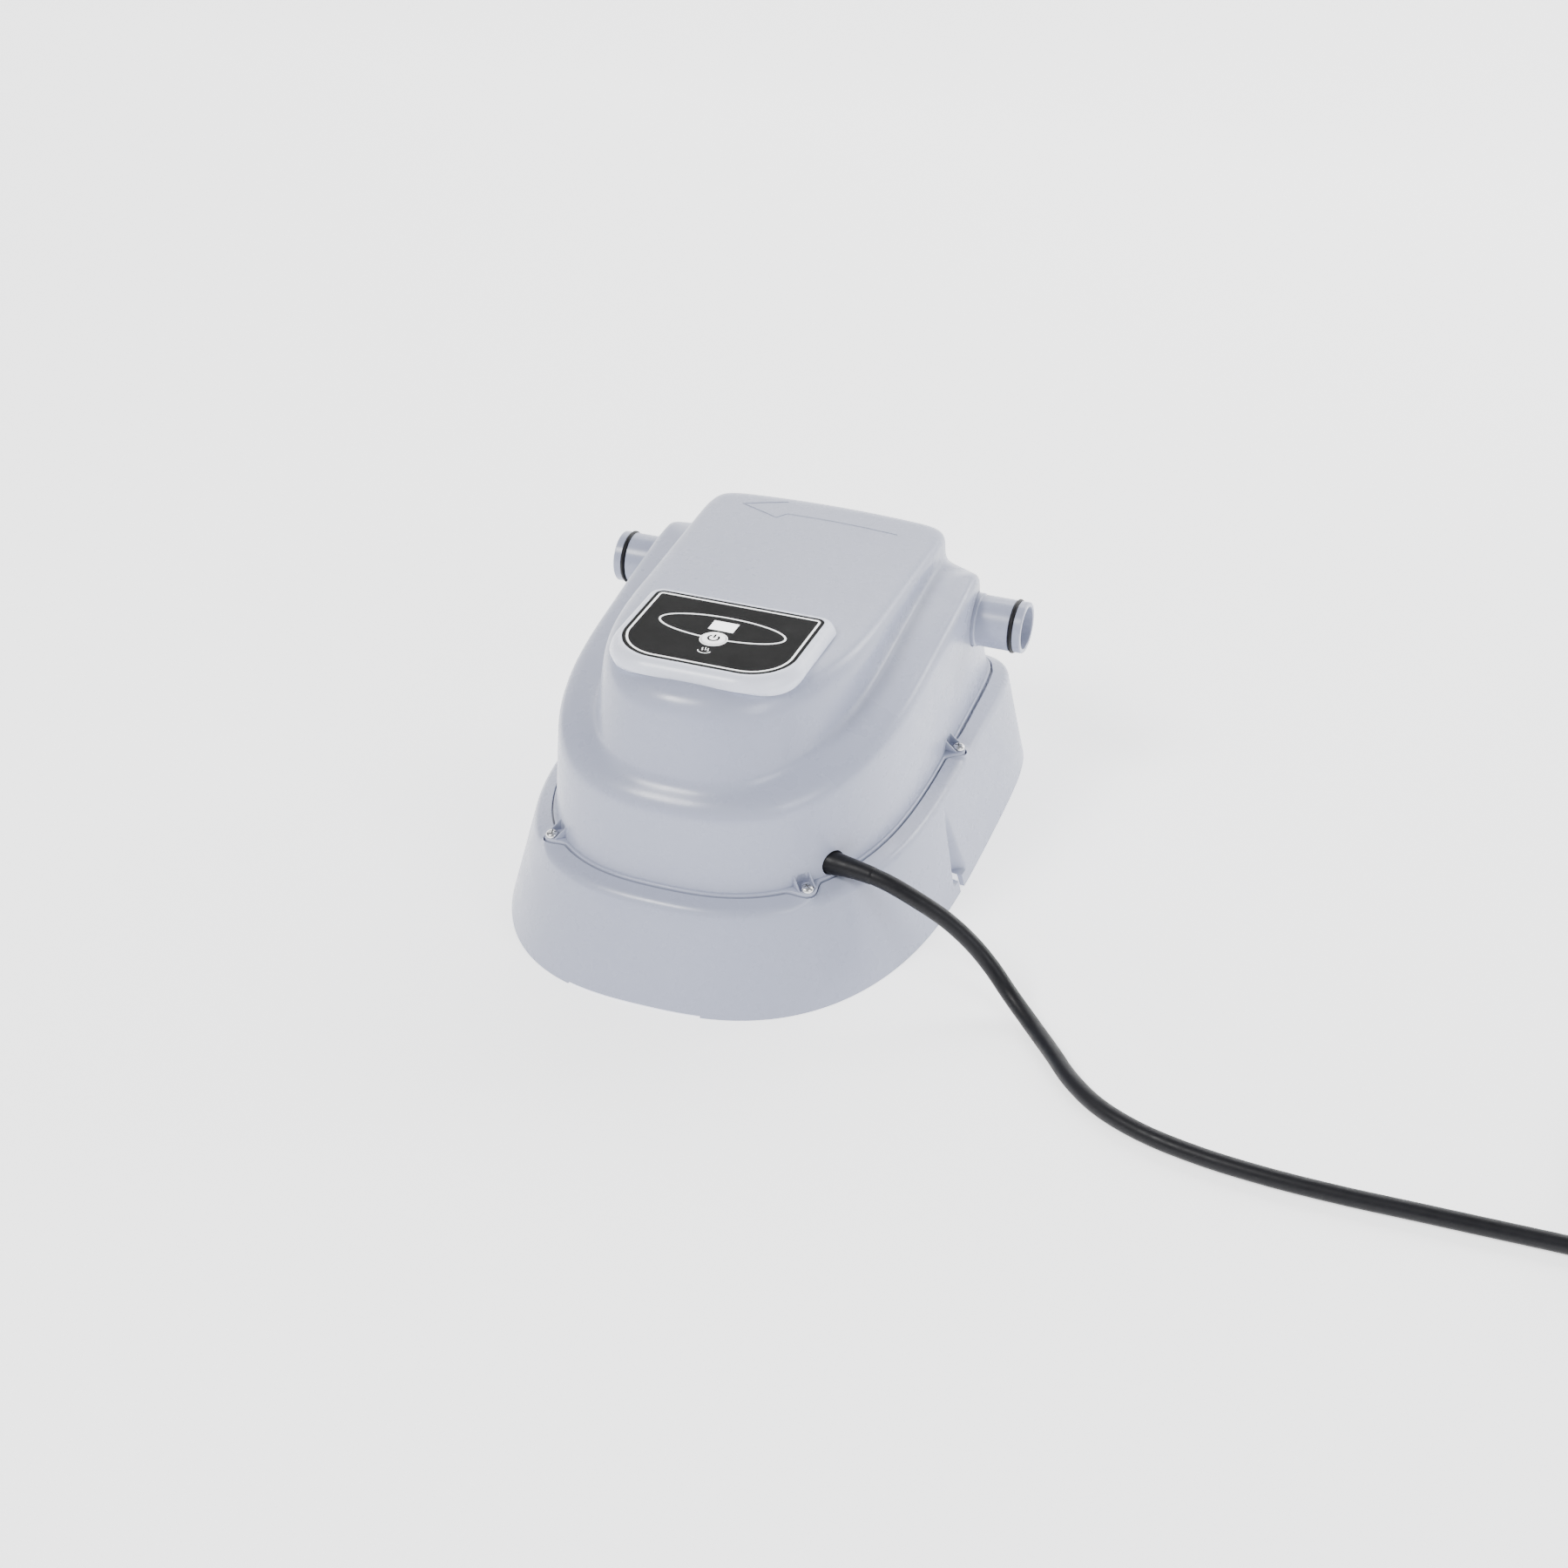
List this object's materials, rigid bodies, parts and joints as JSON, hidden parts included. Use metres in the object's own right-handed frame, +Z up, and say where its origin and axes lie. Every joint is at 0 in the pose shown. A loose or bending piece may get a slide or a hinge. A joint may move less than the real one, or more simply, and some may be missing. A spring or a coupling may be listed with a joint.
{
  "type": "electric pool heater",
  "caption": "Flow-through electric pool heater: flared base, two-tier moulded cover, control panel with push button, hose stubs on both sides and a coiled rubber mains lead.",
  "frame": {"origin": "on the floor, in the middle of the footprint without the free lead", "axes": "+Z up, front towards -Y, the hose axis along X with the water coming in at +X"},
  "size_m": [0.8527, 0.4066, 0.183],
  "materials": {
    "body_plastic": "fine satin moulding, light cool grey",
    "trim_plastic": "satin, paler than the body",
    "panel_film": "satin printed film, dark grey",
    "panel_print": "white print",
    "symbol_print": "dark print",
    "window_plastic": "clear window over a pale mask",
    "button_plastic": "semi-gloss white",
    "screw_steel": "bright zinc",
    "plain_steel": "drawn steel",
    "brass": "turned",
    "rubber": "matt black",
    "black_plastic": "moulded",
    "tie_plastic": "moulded nylon",
    "board": "solder mask",
    "relay_plastic": "moulded",
    "ivory_plastic": "moulded",
    "chamber_plastic": "glass-filled moulding",
    "inner_plastic": "glass-filled moulding",
    "paddle_plastic": "moulded",
    "red_wire": "silicone sleeve",
    "brown_wire": "sleeve",
    "white_wire": "sleeve",
    "grey_wire": "sleeve"
  },
  "bodies": {
    "root": {"base_shell": "body_plastic", "top_housing": "body_plastic", "housing_gasket": "rubber", "cover_screws": "screw_steel", "panel_bezel": "trim_plastic", "panel_overlay": "panel_film", "display_window": "window_plastic", "button_spring": "screw_steel", "tact_switch": "black_plastic", "display_board": "board", "display_module": "black_plastic", "display_screws": "screw_steel", "power_board": "board", "board_standoffs": "brass", "board_screws": "screw_steel", "relays": "relay_plastic", "transformer": "black_plastic", "capacitors": "black_plastic", "terminal_block": "ivory_plastic", "earth_stud": "brass", "heater_chamber": "chamber_plastic", "chamber_cradles": "inner_plastic", "chamber_straps": "plain_steel", "strap_screws": "screw_steel", "inlet_spigot": "body_plastic", "outlet_spigot": "body_plastic", "spigot_gaskets": "rubber", "spigot_screws": "screw_steel", "inlet_o_ring": "rubber", "outlet_o_ring": "rubber", "element_plug": "brass", "heating_element": "plain_steel", "element_terminals": "ivory_plastic", "thermal_cutouts": "ivory_plastic", "temperature_probe": "plain_steel", "flow_switch_body": "inner_plastic", "paddle_pin": "plain_steel", "reed_switch": "black_plastic", "element_leads": "red_wire", "supply_leads": "brown_wire", "board_cable": "white_wire", "sensor_lead": "grey_wire", "cord_clamp": "body_plastic", "clamp_screws": "screw_steel", "cord_grommet": "rubber", "cord_tail": "rubber", "mains_cord": "rubber", "mains_cord_coil": "rubber", "coil_tie": "tie_plastic", "plug_lead": "rubber", "mains_plug": "rubber", "plug_pins": "plain_steel"},
    "button": {"power_button": "button_plastic"},
    "paddle": {"flow_paddle": "paddle_plastic"}
  },
  "joints": [
    {"name": "button_press", "type": "slide", "parent": "root", "child": "button", "axis": [0, 0, -1], "range_m": [0, 0.001], "stiffness_N_per_m": 800, "springref_m": -0.001, "deforming": ["button_spring"]},
    {"name": "paddle_swing", "type": "hinge", "parent": "root", "child": "paddle", "pos_m": [0.044, 0.101, 0.147], "axis": [0, 1, 0], "range_deg": [0, 30], "stiffness_Nm_per_rad": 0.004, "springref_deg": -11.46}
  ]
}
